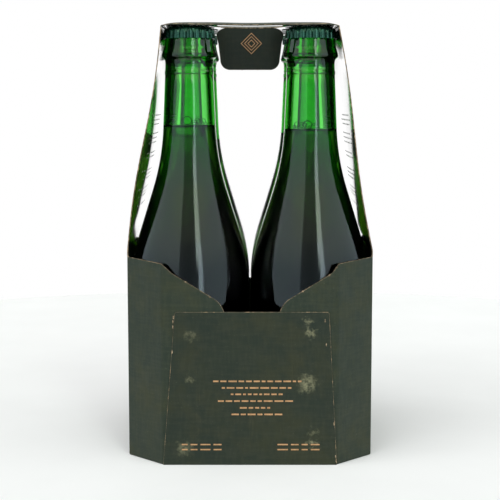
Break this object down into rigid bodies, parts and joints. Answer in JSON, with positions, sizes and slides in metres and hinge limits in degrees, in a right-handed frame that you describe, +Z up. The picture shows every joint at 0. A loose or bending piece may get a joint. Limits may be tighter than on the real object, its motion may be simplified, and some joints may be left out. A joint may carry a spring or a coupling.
{
  "type": "beer bottle pack in a carrier",
  "caption": "Paperboard basket carrier with finger holes, holding capped green glass long-neck beer bottles.",
  "frame": {"origin": "middle of the underside of the carrier's floor, on the surface it stands on", "axes": "+Z up, -Y towards the end wall that the picture shows, +X to that view's right"},
  "size_m": [0.1304, 0.1314, 0.2306],
  "materials": {
    "board": "dark green matte printed paperboard",
    "green_glass": "clear green bottle glass",
    "beer": "clear amber liquid",
    "cap_paint": "dark green lacquered tinplate"
  },
  "bodies": {
    "root": {"carrier": "board", "bottle_front_left": "green_glass", "bottle_front_right": "green_glass", "bottle_back_left": "green_glass", "bottle_back_right": "green_glass", "beer_front_left": "beer", "beer_front_right": "beer", "beer_back_left": "beer", "beer_back_right": "beer", "cap_front_left": "cap_paint", "cap_front_right": "cap_paint", "cap_back_left": "cap_paint", "cap_back_right": "cap_paint"}
  },
  "joints": []
}
